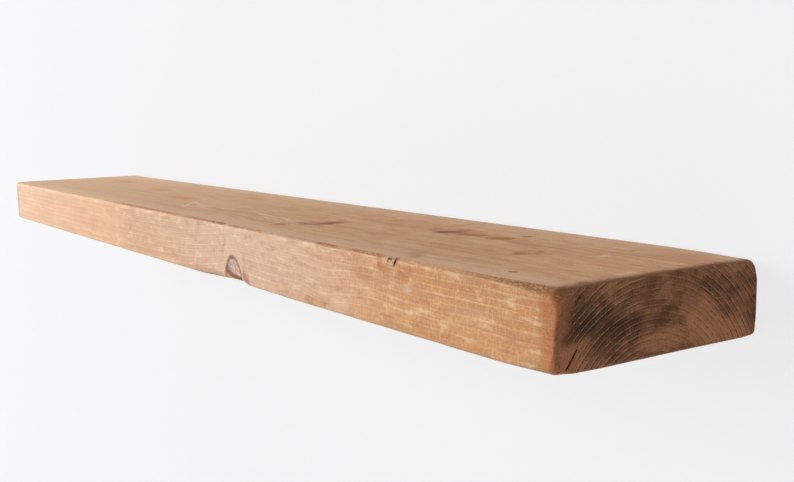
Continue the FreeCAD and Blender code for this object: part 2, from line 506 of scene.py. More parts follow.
# Stain zones of the end grain: from front, from top, half sizes across and down, strength
END_DARK_ZONES = (
    (18, 12, 14, 11, 0.75),
    (22, 21, 15, 11, 0.90),
    (34, 22, 17, 12, 0.85),
    (46, 27, 15, 11, 0.90),
    (58, 26, 12, 9, 0.60),
    (38, 36, 15, 8, 0.55),
    (78, 25, 16, 7, 0.30),
    (126, 12, 18, 7, 0.40),
    (142, 17, 12, 7, 0.45),
)
END_WARM_ZONES = (
    (113, 30, 18, 12, 0.80),
    (124, 39, 24, 10, 0.95),
    (74, 40, 16, 7, 0.60),
    (96, 38, 18, 9, 0.60),
    (146, 42, 24, 12, 0.95),
    (152, 26, 14, 12, 0.40),
    (112, 17, 12, 8, 0.35),
    (8, 40, 16, 10, 0.70),
    (40, 3, 14, 4, 0.50),
    (142, 4, 20, 4, 0.60),
)
END_ZONE_REACH = 10 * LENGTH


# Noises in the wood: scale along, into and up the plank, detail, roughness
WOOD_NOISES = {
    "fibre": ((0.014, 0.8, 0.8), 4.0, 0.6),
    "hair": ((0.06, 3.0, 3.0), 2.0, 0.6),
    "fleck": ((0.45, 0.9, 0.9), 3.0, 0.65),
    "cloud": ((0.009, 0.025, 0.03), 2.0, 0.5),
    "tint": ((0.006, 0.05, 0.05), 3.0, 0.55),
    "streak": ((0.007, 0.13, 0.13), 3.0, 0.6),
    "gap": ((0.04, 0.5, 0.5), 3.0, 0.6),
    "patchy": ((0.022, 0.1, 0.1), 3.0, 0.6),
    "mottle": ((0.05, 0.15, 0.15), 4.0, 0.6),
    "sawn": ((0.65, 0.3, 0.16), 4.0, 0.65),
    "strand": ((0.010, 0.20, 0.20), 3.0, 0.6),
}


def wood_fields(graph):
    """Places, directions and fibre noises that the wood's features share."""
    wood = SimpleNamespace()
    wood.place, direction = graph.place()
    wood.x, wood.y, wood.z = graph.split(wood.place)
    toward_right, toward_wall, wood.toward_top = graph.split(direction)
    wood.toward_end = graph.math("ABSOLUTE", toward_right)
    wood.toward_front = graph.mul(toward_wall, -1.0)
    for name, settings in WOOD_NOISES.items():
        setattr(wood, name, graph.noise(wood.place, *settings))
    wood.ragged = graph.wander(wood.place, (0.12, 0.2, 0.2), (5, 3, 3))
    wood.crisp = graph.span(wood.x, -0.40 * LENGTH, 0.20 * LENGTH, 0.05, 1.0)
    wood.from_end = graph.math("SUBTRACT", LENGTH / 2, graph.math("ABSOLUTE", wood.x))
    wood.from_top = graph.math("SUBTRACT", TOP, wood.z)
    wood.from_wall = graph.math("SUBTRACT", WALL, wood.y)
    wood.flat = graph.span(wood.toward_top, 0.3, 0.85)
    wood.to_left = graph.span(wood.x, LENGTH * 0.22, -LENGTH / 2, kind="LINEAR")
    wood.knot = big_knot_distance(graph, wood)
    return wood


def big_knot_distance(graph, wood):
    """Distance from the big knot's branch, which runs from the pith out to the front face; 1 at its rim."""
    heart = on_front(KNOT_FROM_LEFT, KNOT_FROM_TOP)
    branch = Vector((0, heart.y - PITH.y, heart.z - PITH.z)).normalized()
    upward = Vector((-math.sin(KNOT_LEAN), 0, math.cos(KNOT_LEAN)))
    sideways = Vector((math.cos(KNOT_LEAN), 0, math.sin(KNOT_LEAN)))
    tall = upward - branch * upward.dot(branch)
    wide = sideways - branch * sideways.dot(branch)
    tall_half = KNOT_HALF_HEIGHT * tall.length
    wide_half = KNOT_HALF_WIDTH * wide.length
    tall.normalize()
    ragged = graph.wander(wood.place, (0.2, 0.2, 0.2), (1.4, 1.4, 1.4))
    offset = graph.vector("SUBTRACT", ragged, tuple(heart))
    up_share = graph.vector("DOT_PRODUCT", offset, tuple(tall / tall_half))
    side_share = graph.vector("DOT_PRODUCT", offset, tuple(tall.cross(branch) / wide_half))
    return graph.vector("LENGTH", graph.combine(side_share, up_share, 0.0))


# How the rings wander: scale along and across the trunk, reach
RING_WANDERS = (
    ((0.0020, 0.0015, 0.0015), 3.0),
    ((0.0110, 0.0060, 0.0060), 1.2),
    ((0.0300, 0.1500, 0.1500), 0.9),
    ((0.1600, 0.6000, 0.6000), 0.7),
)
KNOT_SHIFT = 9.0
KNOT_SHIFT_RUN = 66.0
KNOT_LIFT = 2.4
KNOT_LIFT_RUN = 32.0
KNOT_LIFT_DEPTH = 60.0
KNOT_BLUNTNESS = 18.0
TOP_BRANCH_DEPTH = 60.0
TOP_BRANCH_STRETCH = 1.4
FRONT_BEND_DEPTH = 40.0
LATE_WOOD_PEAK = 0.88


def ring_radius(graph, wood):
    """Distance from the pith, bent by the wander of the trunk and by the branches."""
    bent = wood.place
    for scale, reach in RING_WANDERS:
        bent = graph.wander(bent, scale, (0, reach, reach))
    from_pith = graph.vector("SUBTRACT", graph.vector("MULTIPLY", bent, (0, 1, 1)), tuple(PITH))
    radius = graph.vector("LENGTH", from_pith)
    heart = on_front(KNOT_FROM_LEFT, KNOT_FROM_TOP)
    along = graph.math("SUBTRACT", wood.x, heart.x)
    blunt = graph.math("SQRT", graph.math("MULTIPLY_ADD", along, along, KNOT_BLUNTNESS ** 2))
    before = graph.math("EXPONENT", graph.mul(graph.math("SUBTRACT", along, blunt), 0.5 / KNOT_SHIFT_RUN))
    after = graph.math("EXPONENT", graph.mul(graph.add(along, blunt), -0.5 / KNOT_LIFT_RUN))
    deep = graph.span(wood.y, heart.y, heart.y + KNOT_LIFT_DEPTH, 1, 0)
    shift = graph.math("MULTIPLY_ADD", before, -KNOT_SHIFT, KNOT_SHIFT)
    radius = graph.add(radius, shift, graph.mul(before, after, deep, -KNOT_LIFT))
    for from_left, from_wall, half, bend in TOP_BRANCHES:
        halves = (half * TOP_BRANCH_STRETCH, half, TOP_BRANCH_DEPTH)
        away = graph.ellipsoid(wood.place, on_top(from_left, from_wall), halves)
        radius = graph.math("SUBTRACT", radius, graph.span(away, 0.3, 3.0, bend, 0))
    for from_left, from_top, along_half, down_half, bend in FRONT_BENDS:
        halves = (along_half, FRONT_BEND_DEPTH, down_half)
        away = graph.ellipsoid(wood.place, on_front(from_left, from_top), halves)
        radius = graph.math("SUBTRACT", radius, graph.span(away, 0.1, 1.6, bend, 0))
    return radius


def ring_lines(graph, wood):
    """Late wood of each ring, as a broad and a thin line, and a chance value for each ring."""
    wood.radius = ring_radius(graph, wood)
    rings, reach = len(RING_RADII), RING_RADII[-1]
    points = [(0.0, 0.0)] + [(radius / reach, (ring + 1) / rings) for ring, radius in enumerate(RING_RADII)]
    count = graph.mul(graph.curve(graph.mul(wood.radius, 1 / reach), points), rings)
    count = graph.add(count, LATE_WOOD_PEAK)
    phase = graph.math("FRACT", count)
    ring = graph.math("FLOOR", count)
    chance = graph.node("ShaderNodeTexWhiteNoise", noise_dimensions="1D")
    graph.put(chance.inputs["W"], ring)
    wood.chance = chance.outputs["Value"]
    wood.late = graph.mul(graph.span(phase, 0.58, 0.88), graph.span(phase, 0.88, 1.0, 1, 0))
    wood.late_thin = graph.mul(graph.span(phase, 0.76, 0.88), graph.span(phase, 0.88, 0.99, 1, 0))
    wood.shade = graph.mul(graph.span(phase, 0.40, 0.60), graph.span(phase, 0.64, 0.80, 1, 0))
    wood.early = graph.span(phase, 0.0, 0.4, 1, 0)


def long_grain(graph, wood):
    """Front, back, top and underside: orange-brown early wood between thin pale lines, with painted sheen
    and painted light over it.
    """
    upright = graph.span(wood.flat, 0.0, 1.0, 1.0, 0.0)
    softer = graph.span(wood.flat, 0.0, 1.0, 1.0, 0.70)
    ground = graph.stain(rgb(212, 156, 102), rgb(196, 136, 84), wood.cloud, 0.3, 0.7)
    ground = graph.mix(graph.mul(wood.flat, 0.80), ground, rgb(216, 167, 123))
    ground = graph.stain(ground, rgb(200, 136, 96), wood.tint, 0.52, 0.70, 0.45)
    ground = graph.stain(ground, rgb(200, 160, 108), wood.tint, 0.48, 0.32, 0.35)
    marbled = graph.span(wood.crisp, 0.0, 1.0, 0.25, 0.55)
    ground = graph.stain(ground, rgb(192, 122, 82), wood.mottle, 0.50, 0.68, marbled)
    ground = graph.stain(ground, rgb(230, 190, 140), wood.mottle, 0.48, 0.32, marbled)
    drawn = graph.mul(wood.flat, wood.crisp)
    ground = graph.stain(ground, rgb(168, 112, 72), wood.gap, 0.52, 0.70, drawn, 0.26)
    ground = graph.stain(ground, rgb(240, 198, 154), wood.gap, 0.48, 0.32, drawn, 0.26)
    ground = graph.stain(ground, rgb(170, 114, 74), wood.strand, 0.52, 0.70, drawn, 0.36)
    ground = graph.stain(ground, rgb(238, 196, 152), wood.strand, 0.47, 0.31, drawn, 0.34)
    ground = graph.stain(ground, rgb(168, 108, 66), wood.streak, 0.50, 0.74, softer, 0.45)
    ground = graph.stain(ground, rgb(232, 186, 134), wood.streak, 0.46, 0.30, softer, 0.40)
    ground = graph.mix(graph.mul(wood.early, softer, 0.22), ground, rgb(184, 118, 68))
    fleck_share = graph.mul(graph.span(wood.to_left, 0.0, 0.75, 0.42, 0.12), softer)
    ground = graph.stain(ground, rgb(168, 98, 52), wood.fleck, 0.52, 0.68, fleck_share)
    ground = graph.stain(ground, rgb(232, 180, 122), wood.fleck, 0.46, 0.32, fleck_share)
    sawn = graph.mul(upright, wood.crisp)
    ground = graph.stain(ground, rgb(176, 112, 70), wood.sawn, 0.50, 0.70, sawn, 0.18)
    ground = graph.stain(ground, rgb(238, 196, 148), wood.sawn, 0.48, 0.30, sawn, 0.16)
    ground = graph.stain(ground, rgb(230, 182, 132), wood.fibre, 0.52, 0.74, wood.crisp, 0.28)
    ground = graph.stain(ground, rgb(150, 92, 52), wood.hair, 0.55, 0.78, softer, 0.12)
    # Painted sheen: the front and top grow paler towards the left end, standing in for the grazing
    # reflection of the bright room
    ground = graph.mix(graph.mul(wood.to_left, upright, 0.36), ground, rgb(232, 202, 178))
    ground = graph.mix(graph.mul(wood.to_left, wood.flat, 0.58), ground, rgb(242, 204, 166))
    # Painted light on the top: paler near the wall, standing in for its bounce light, and a painted sheen
    # near the front edge
    lit = graph.math("MAXIMUM", graph.span(wood.from_wall, 48, 12), graph.span(wood.from_wall, 136, 158))
    ground = graph.mix(graph.mul(lit, wood.flat, 0.32), ground, rgb(240, 206, 172))
    return fine_lines(graph, wood, ground)


def fine_lines(graph, wood, ground):
    """Thin pale late wood over the long grain, broken here and there, with a darker line before it."""
    strength = graph.plus(0.40, (wood.chance, 0.25))
    strength = graph.scaled(strength, (
        (wood.flat, 0.0, 1.0, 1.0, 0.35),
        (wood.to_left, 0, 0.8, 1, 0.25),
        (wood.radius, 90, 92, 0.05, 1.0),
        (wood.gap, 0.36, 0.60, 0.15, 1),
        (wood.knot, 1.1, 2.4, 0.15, 1.0),
        (wood.sawn, 0.34, 0.62, 0.55, 1.0),
        (wood.from_end, 5, 20, 0.2, 1.0),
    ))
    colour = graph.mix(graph.mul(wood.shade, strength, 0.35), ground, rgb(168, 104, 60))
    return graph.mix(graph.mul(wood.late, strength), colour, rgb(242, 202, 154))


def end_grain(graph, wood):
    """The ends drink the stain: dark early wood in uneven zones, with thin pale late wood."""
    mottle = graph.noise(wood.place, (0.0, 0.08, 0.12), 4.0, 0.6)
    pore = graph.noise(wood.place, (0.2, 1.1, 1.1), 3.0, 0.7)
    scar = graph.noise(wood.place, (0.0, 0.14, 0.14), 3.0, 0.6)
    tone = graph.stain(rgb(112, 73, 49), rgb(164, 111, 79), mottle, 0.36, 0.64)
    ragged = graph.wander(wood.place, (0.0, 0.11, 0.13), (0, 16, 12))
    by_ring = graph.span(wood.chance, 0.0, 1.0, 0.80, 1.05)
    for zones, colour in ((END_WARM_ZONES, rgb(206, 139, 98)), (END_DARK_ZONES, rgb(62, 40, 23))):
        share = 0.0
        for from_front, from_top, across, down, strength in zones:
            centre = on_end(from_front, from_top)
            away = graph.ellipsoid(ragged, centre, (END_ZONE_REACH, across, down))
            share = graph.math("MAXIMUM", share, graph.span(away, 0.35, 1.15, strength, 0))
        tone = graph.mix(graph.mul(share, by_ring), tone, colour)
    from_front = graph.math("SUBTRACT", wood.y, FRONT)
    strip = graph.span(graph.math("MULTIPLY_ADD", scar, 10.0, from_front), 8.0, 14.0, 0.75, 0)
    tone = graph.mix(strip, tone, rgb(164, 108, 78))
    tone = graph.mix(graph.span(wood.x, 0, -LENGTH / 4, 0, 0.72), tone, rgb(104, 70, 48))
    tone = graph.stain(tone, rgb(56, 35, 20), pore, 0.50, 0.66, 0.55)
    tone = graph.stain(tone, rgb(188, 136, 98), pore, 0.46, 0.32, 0.45)
    strength = graph.plus(0.56, (wood.chance, 0.40))
    strength = graph.scaled(strength, (
        (scar, 0.38, 0.58, 0.30, 1.0),
        (wood.gap, 0.35, 0.6, 0.4, 1),
        (from_front, 6, 16, 0.0, 1.0),
    ))
    faint = graph.mul(graph.span(from_front, 52, 76), graph.span(from_front, 132, 108))
    strength = graph.mul(strength, graph.span(faint, 0, 1, 1.15, 0.60))
    tone = graph.mix(graph.mul(wood.shade, strength, 0.8), tone, rgb(46, 28, 16))
    return graph.mix(graph.mul(wood.late_thin, strength), tone, rgb(200, 158, 122))


def spotted(graph, wood, colour):
    """Knots, clouds, painted shade along the lower front edge, fine lines and the scratch over the long
    grain.
    """
    for from_left, from_wall, along, across, tone, strength in TOP_SPOTS:
        away = graph.ellipsoid(wood.ragged, on_top(from_left, from_wall), (along, across, TOP_SPOT_HEIGHT))
        colour = graph.mix(graph.span(away, 0.25, 1.15, strength, 0), colour, tone)
    for from_left, from_top, along, down, tone, strength in FRONT_SPOTS:
        away = graph.ellipsoid(wood.ragged, on_front(from_left, from_top), (along, FRONT_SPOT_DEPTH, down))
        colour = graph.mix(graph.span(away, 0.25, 1.15, strength, 0), colour, tone)
    for on_face, lines in ((on_front, FRONT_LINES), (on_top, TOP_STREAKS)):
        for start, end, half_width, tone, strength in lines:
            line = graph.stroke(wood.ragged, on_face(*start), on_face(*end), half_width)
            colour = graph.mix(graph.mul(line, strength), colour, tone)
    from_left, from_wall, along, across = LOOP_KNOT
    loop = graph.ellipsoid(wood.ragged, on_top(from_left, from_wall), (along, across, LOOP_KNOT_DEPTH))
    rim = graph.span(graph.math("ABSOLUTE", graph.math("SUBTRACT", loop, 0.9)), 0.0, 0.35, 0.6, 0)
    rim = graph.mul(rim, graph.span(wood.z, THICKNESS - 12, THICKNESS - 2))
    colour = graph.mix(rim, colour, AMBER)
    bent = graph.wander(wood.place, (0.05, 0.05, 0.05), (5, 4, 0))
    for start, end, strength in zip(SCRATCH, SCRATCH[1:], SCRATCH_STRENGTHS):
        line = graph.stroke(bent, on_top(*start), on_top(*end), SCRATCH_HALF_WIDTH)
        colour = graph.mix(graph.mul(line, strength), colour, PALE)
    return colour


def weathered(graph, wood, colour):
    """Faint grey-brown and pale marks of the saw and of handling, on the upright faces."""
    upright = graph.mul(graph.span(wood.flat, 0.0, 1.0, 0.75, 0.0), wood.crisp)
    colour = graph.stain(colour, rgb(180, 134, 102), wood.sawn, 0.50, 0.72, upright, 0.34)
    colour = graph.stain(colour, rgb(188, 134, 100), wood.mottle, 0.52, 0.70, upright, 0.80)
    colour = graph.stain(colour, rgb(190, 144, 112), wood.patchy, 0.54, 0.72, upright, 0.50)
    colour = graph.stain(colour, rgb(240, 210, 180), wood.sawn, 0.48, 0.30, upright, 0.28)
    return graph.stain(colour, rgb(238, 206, 170), wood.mottle, 0.46, 0.29, upright, 0.60)


def edged(graph, wood, colour):
    """Stain along the upper front edge, pale patches below it (partly worn chips, partly a painted
    highlight), and dark colour drawn over from the ends.
    """
    upper = graph.mul(graph.span(wood.toward_front, 0.10, 0.42), graph.span(wood.toward_top, 0.25, 0.60))
    speckle = graph.span(wood.fleck, 0.38, 0.56, 0.35, 1.0)
    upper = graph.mul(upper, speckle)
    patches = graph.span(wood.patchy, 0.36, 0.60, 0.15, 0.45)
    colour = graph.mix(graph.mul(upper, patches), colour, rgb(150, 94, 52))
    for from_left, half, tone, strength in EDGE_STAINS:
        centre = on_front(from_left, 0)
        away = graph.math("ABSOLUTE", graph.math("SUBTRACT", wood.x, centre.x))
        colour = graph.mix(graph.mul(graph.span(away, half * 0.5, half, strength, 0), upper), colour, tone)
    at_right = graph.span(wood.x, LENGTH / 2 - 90, LENGTH / 2 - 20)
    colour = graph.mix(graph.mul(at_right, upper, 0.75), colour, rgb(130, 80, 38))
    # Pale patches just below the upper front edge: partly worn chips, partly a painted highlight of the
    # edge
    below = graph.mul(graph.span(wood.from_top, 1.5, 2.6), graph.span(wood.from_top, 3.0, 6.0, 1, 0))
    below = graph.mul(below, graph.span(wood.toward_front, 0.7, 0.95))
    below = graph.mul(below, graph.span(wood.patchy, 0.58, 0.36, 0, 0.55), graph.span(wood.gap, 0.35, 0.6))
    colour = graph.mix(below, colour, rgb(240, 210, 180))
    lowest = graph.mul(graph.span(wood.toward_top, 0.02, -0.14), graph.span(wood.toward_top, -0.55, -0.35))
    facing = graph.span(wood.toward_front, 0.5, 0.8)
    lowest = graph.mul(lowest, facing, graph.span(wood.to_left, 0.1, 0.6, 0.1, 0.5))
    colour = graph.mix(lowest, colour, rgb(236, 190, 140))
    bleed = graph.math("MULTIPLY_ADD", wood.fleck, 12.0, wood.from_end)
    colour = graph.mix(graph.span(bleed, 7, 19, 0.65, 0), colour, rgb(172, 100, 56))
    specks = graph.mul(graph.span(wood.fleck, 0.54, 0.68), graph.span(wood.from_end, 16, 4, 0, 0.5))
    colour = graph.mix(specks, colour, rgb(122, 66, 32))
    bleed = graph.math("MULTIPLY_ADD", wood.patchy, 16.0, bleed)
    top_bleed = graph.mul(graph.span(bleed, 16.5, 20.5, 0.80, 0), graph.span(wood.toward_top, 0.3, 0.8))
    return graph.mix(top_bleed, colour, rgb(118, 78, 46))


def big_knot(graph, wood, colour):
    """The big knot: a pinkish heart in a dark rim, paler wood round it and stain along its foot."""
    heart = on_front(KNOT_FROM_LEFT, KNOT_FROM_TOP)
    near_front = graph.span(wood.y, *(heart.y + depth for depth in KNOT_FADE_DEPTHS), 1, 0)
    halo = graph.mul(graph.span(wood.knot, 1.0, 1.8, 0.35, 0), near_front)
    colour = graph.mix(halo, colour, rgb(230, 194, 164))
    spots = graph.noise(wood.place, (0.3, 0.3, 0.3), 3.0, 0.6)
    inside = graph.mix(graph.span(spots, 0.35, 0.65), rgb(222, 187, 165), rgb(172, 137, 122))
    inside = graph.mix(graph.span(wood.z, heart.z + 8, heart.z + 19, 0, 0.6), inside, rgb(168, 132, 122))
    colour = graph.mix(graph.mul(graph.span(wood.knot, 0.92, 1.0, 1, 0), near_front), colour, inside)
    leftward = graph.span(wood.x, heart.x - 4, heart.x - 12)
    lower_left = graph.mul(leftward, graph.span(wood.z, heart.z + 12, heart.z + 6))
    thick = graph.math("MULTIPLY_ADD", lower_left, 0.14, 0.17)
    rim = graph.span(graph.math("ABSOLUTE", graph.math("SUBTRACT", wood.knot, 0.92)), 0.02, thick, 1, 0)
    wood.knot_rim = graph.mul(rim, near_front)
    rim_share = graph.mul(wood.knot_rim, graph.span(spots, 0.3, 0.6, 0.60, 0.85))
    colour = graph.mix(rim_share, colour, rgb(132, 82, 60))
    from_left, from_top, along, down = KNOT_SHADE
    shaded = graph.ellipsoid(wood.place, on_front(from_left, from_top), (along, KNOT_SHADE_DEPTH, down))
    colour = graph.mix(graph.span(shaded, 0.2, 1.3, 0.85, 0), colour, rgb(116, 64, 32))
    start, end = (on_front(*place) for place in KNOT_SIDE)
    beside = graph.stroke(wood.place, start, end, KNOT_SIDE_HALF_WIDTH)
    colour = graph.mix(graph.mul(beside, 0.70), colour, rgb(150, 102, 80))
    low = graph.span(wood.z, *KNOT_FOOT_HEIGHTS)
    foot = graph.mul(low, graph.span(wood.knot, 0.88, 1.1, 0.85, 0), near_front)
    rust = graph.mix(graph.span(wood.x, heart.x - 8, heart.x + 14), rgb(206, 148, 88), rgb(138, 86, 50))
    colour = graph.mix(foot, colour, rust)
    start, end = (on_front(*place) for place in KNOT_FOOT)
    burnt = graph.stroke(wood.place, start, end, KNOT_FOOT_HALF_WIDTH)
    return graph.mix(graph.mul(burnt, 0.95), colour, rgb(118, 58, 0))


def end_cover(graph, wood):
    """Share of end grain: frayed at the rough-cut right end, and kept off the wrapped edge."""
    rough_cut = graph.span(wood.x, -LENGTH / 2, EDGE_RADIUS - LENGTH / 2, 0.2, 1.0)
    frayed = wood.toward_end
    for field, reach in ((wood.patchy, 0.9), (wood.fleck, 0.6)):
        uneven = graph.mul(graph.math("SUBTRACT", field, 0.5), rough_cut)
        frayed = graph.plus(frayed, (uneven, reach))
    wrapped = graph.ellipsoid(wood.place, (LENGTH / 2, -DEPTH, WRAP_HEIGHT), WRAP_SIZE)
    frayed = graph.math("SUBTRACT", frayed, graph.span(wrapped, 0.4, 1.2, 0.7, 0))
    return graph.span(frayed, 0.54, 0.82)


def wood_material():
    """Stained and waxed softwood in the round: growth rings, knots, fibres, darker end grain."""
    graph = Graph("stained_softwood")
    wood = wood_fields(graph)
    ring_lines(graph, wood)
    colour = weathered(graph, wood, spotted(graph, wood, long_grain(graph, wood)))
    colour = edged(graph, wood, colour)
    colour = big_knot(graph, wood, colour)
    end_share = end_cover(graph, wood)
    colour = graph.mix(end_share, colour, end_grain(graph, wood))
    # Painted shade: the crack's inside is coloured near black, standing in for the shade deep in the gap
    crack = graph.stroke(wood.place, on_end(*CRACK_START), on_end(*CRACK_END), CRACK_SHADE_HALF_WIDTH)
    colour = graph.mix(graph.mul(crack, 0.95), colour, rgb(34, 20, 12))
    for start, end, half_width, strength in EDGE_KNOT_MARKS:
        start, end = (on_front(*place) + Vector((0, MARK_STAIN_DEPTH, 0)) for place in (start, end))
        mark = graph.stroke(wood.place, start, end, half_width + MARK_STAIN_MARGIN)
        colour = graph.mix(graph.mul(mark, strength), colour, rgb(64, 36, 22))

    roughness = graph.plus(0.42, (wood.fibre, 0.16), (end_share, 0.30), (wood.flat, 0.10))
    height = graph.plus(graph.mul(wood.fibre, 0.5), (wood.late, 0.5), (wood.hair, 0.25))
    height = graph.plus(height, (graph.mul(wood.fleck, end_share), 1.5), (wood.knot_rim, -1.5))
    normal = graph.bump(height, GRAIN_RELIEF * MM)
    return graph.surface(colour, roughness, normal, Specular_IOR_Level=WAXED_SPECULAR)


def stations(zones):
    """Places along one side of the plank from (start, end, pitch) zones in order."""
    places = [zones[0][0]]
    for start, end, pitch in zones:
        steps = max(1, round((end - start) / pitch))
        places += [start + (end - start) * step / steps for step in range(1, steps + 1)]
    return places


def round_stations(radius, steps):
    """Distances from an edge at which its rounding has even angles, from the edge to the flat."""
    return [radius * (1 - math.tan(math.pi / 4 * (steps - step) / steps)) for step in range(steps + 1)]


def lattice_places():
    """Places from the left end, from the front and from the top where the plank's mesh has lines."""
    arc = round_stations(EDGE_RADIUS, ARC_STEPS)[:-1]

    def with_arcs(size, zones):
        return arc + stations(zones) + [size - place for place in reversed(arc)]

    along = with_arcs(LENGTH, (
        (EDGE_RADIUS, ROUNDED_REACH, 1.2), (ROUNDED_REACH, 590, 3.5), (590, 640, 2), (640, 710, 1),
        (710, 880, 3.5), (880, 930, 1.25), (930, 990, 3.0), (990, LENGTH - ROUNDED_REACH, 1.8),
        (LENGTH - ROUNDED_REACH, LENGTH - EDGE_RADIUS, 0.9),
    ))
    deep = with_arcs(DEPTH, ((EDGE_RADIUS, 34, 1.2), (34, DEPTH - EDGE_RADIUS, 1.9)))
    down = with_arcs(THICKNESS, ((EDGE_RADIUS, THICKNESS - EDGE_RADIUS, 1.1),))
    return along, deep, down


def ripple(*place):
    """Smooth noise from -1 to 1."""
    return noise.noise(Vector(place))


def ease(value, low, high):
    """A smooth step from 0 at low to 1 at high."""
    share = min(max((value - low) / (high - low), 0.0), 1.0)
    return share * share * (3 - 2 * share)


def chip_lift(from_left):
    """How far the lower front edge is torn away at a place along the plank."""
    offset = from_left - CHIP_FROM_LEFT
    run = CHIP_LONG_RUN if offset < 0 else CHIP_SHORT_RUN
    torn = CHIP_HEIGHT * max(0.0, 1 - abs(offset) / run)
    tail = CHIP_TAIL_HEIGHT * max(0.0, 1 - offset / CHIP_TAIL_RUN) if offset > 0 else 0.0
    return max(torn, tail) * (0.9 + 0.2 * ripple(from_left * 0.11, 3.7, 0))


def knot_dish(from_left, from_top):
    """How far the big knot has shrunk below the front face."""
    across = from_left - KNOT_FROM_LEFT
    upward = KNOT_FROM_TOP - from_top
    along = upward * math.cos(KNOT_LEAN) - across * math.sin(KNOT_LEAN)
    aside = across * math.cos(KNOT_LEAN) + upward * math.sin(KNOT_LEAN)
    return KNOT_SINK * ease(math.hypot(along / KNOT_HALF_HEIGHT, aside / KNOT_HALF_WIDTH), 1.05, 0.9)


def rounding(from_left, from_front, from_top):
    """Radius of the sanded edge near a place: larger at the corners and where the long edges are worn."""
    to_end = min(from_left, LENGTH - from_left)
    to_side = min(from_front, DEPTH - from_front)
    to_face = min(from_top, THICKNESS - from_top)
    radius = EDGE_RADIUS + EDGE_RADIUS_WANDER * ripple(from_left * 0.03, from_front * 0.03, from_top * 0.05)
    inward = max(to_end, to_side, to_face)
    extra = CORNER_EXTRA_RADIUS * (1 - ease(inward, 0.5 * ROUNDED_REACH, CORNER_REACH))
    if from_front > DEPTH / 2:
        upright = 1 - ease(max(to_end, to_side), ROUNDED_REACH, BACK_CORNER_REACH)
        radius += (BACK_CORNER_RADIUS - radius) * upright
        extra *= BACK_CORNER_SHARE
    elif from_left > LENGTH / 2:
        upright = 1 - ease(max(to_end, to_side), ROUNDED_REACH, FRONT_CORNER_REACH)
        radius += (FRONT_CORNER_RADIUS - radius) * upright
    if from_left < LENGTH / 2:
        extra *= LEFT_CORNER_SHARE
    for start, wear, aside, away in (
        (WORN_FRONT_START, WORN_FRONT_EXTRA_RADIUS, from_front, from_top),
        (WORN_BACK_START, WORN_BACK_EXTRA_RADIUS, DEPTH - from_front, from_top),
        (WORN_BACK_START, WORN_BACK_LOWER_EXTRA_RADIUS, DEPTH - from_front, THICKNESS - from_top),
        (WORN_LOWER_START, WORN_LOWER_EXTRA_RADIUS, from_front, THICKNESS - from_top),
    ):
        near = 1 - ease(max(aside, away), WORN_FULL_WITHIN, WORN_NONE_BEYOND)
        extra = max(extra, wear * ease(from_left, start, LENGTH) * near)
    return radius + extra


def corner_wear(to_end, to_side):
    """Share of the wear of a face towards one of its corners."""
    return (1 - ease(to_end, 0, CORNER_WEAR_REACH)) * (1 - ease(to_side, 0, CORNER_WEAR_REACH))


def fraying(from_left, from_front, from_top):
    """How far the front and upper edges of the rough-cut right end have lost small splinters."""
    to_end = LENGTH - from_left
    to_edge = min(from_front, from_top)
    near = (1 - ease(to_end, 0, FRAYED_REACH)) * (1 - ease(to_edge, 0, FRAYED_REACH))
    coarse = ripple(from_front * 0.21, from_top * 0.21, 5.2)
    fine = ripple(from_front * 0.55, from_top * 0.55, 1.9)
    return FRAYED_DEPTH * near * max(0.0, coarse + 0.6 * fine)


def plank_point(from_left, from_front, from_top):
    """A point of the plank's sanded and dented surface for a point of the plain block."""
    radius = rounding(from_left, from_front, from_top)
    wave = FACE_WAVE * (0.5 + 0.5 * ripple(from_left * 0.018, from_front * 0.03, from_top * 0.04))
    wave += fraying(from_left, from_front, from_top)
    inner = []
    out = []
    for place, size in ((from_left, LENGTH), (from_front, DEPTH), (from_top, THICKNESS)):
        inner.append(min(max(place, radius), size - radius))
        out.append(place - inner[-1])
    scale = (radius - wave) / math.hypot(*out)
    across, deep, down = (place + step * scale for place, step in zip(inner, out))
    dent = max(0.0, ripple(from_left * 0.07, 11.3, 0) - DENT_LEVEL) * DENT_DEPTH
    dent *= max(0.0, 1 - max(from_front, from_top) / (1.5 * EDGE_RADIUS))
    deep += dent + knot_dish(from_left, from_top) * max(0.0, 1 - from_front / EDGE_RADIUS)
    down += dent
    if down < CORNER_WEAR_BLEND:
        worn = corner_wear(LENGTH - across, DEPTH - deep)
        down += BACK_CORNER_DROP * worn * (1 - down / CORNER_WEAR_BLEND)
    from_bottom = THICKNESS - down
    if from_bottom < CORNER_WEAR_BLEND:
        worn = corner_wear(LENGTH - across, deep)
        down -= FRONT_CORNER_LIFT * worn * (1 - from_bottom / CORNER_WEAR_BLEND)
    if from_bottom < CHIP_BLEND and deep < CHIP_REACH:
        down -= chip_lift(from_left) * (1 - deep / CHIP_REACH) * (1 - from_bottom / CHIP_BLEND)
    lean = corner_wear(LENGTH - across, deep) * (1 - ease(down, 2 * EDGE_RADIUS, FRONT_CORNER_LEAN_DEPTH))
    return across + FRONT_CORNER_LEAN * lean, deep, down


def closed(name, mesh):
    """A mesh for use from one at work, with its faces turned outward."""
    bmesh.ops.recalc_face_normals(mesh, faces=mesh.faces)
    made = bpy.data.meshes.new(name)
    mesh.to_mesh(made)
    mesh.free()
    return made


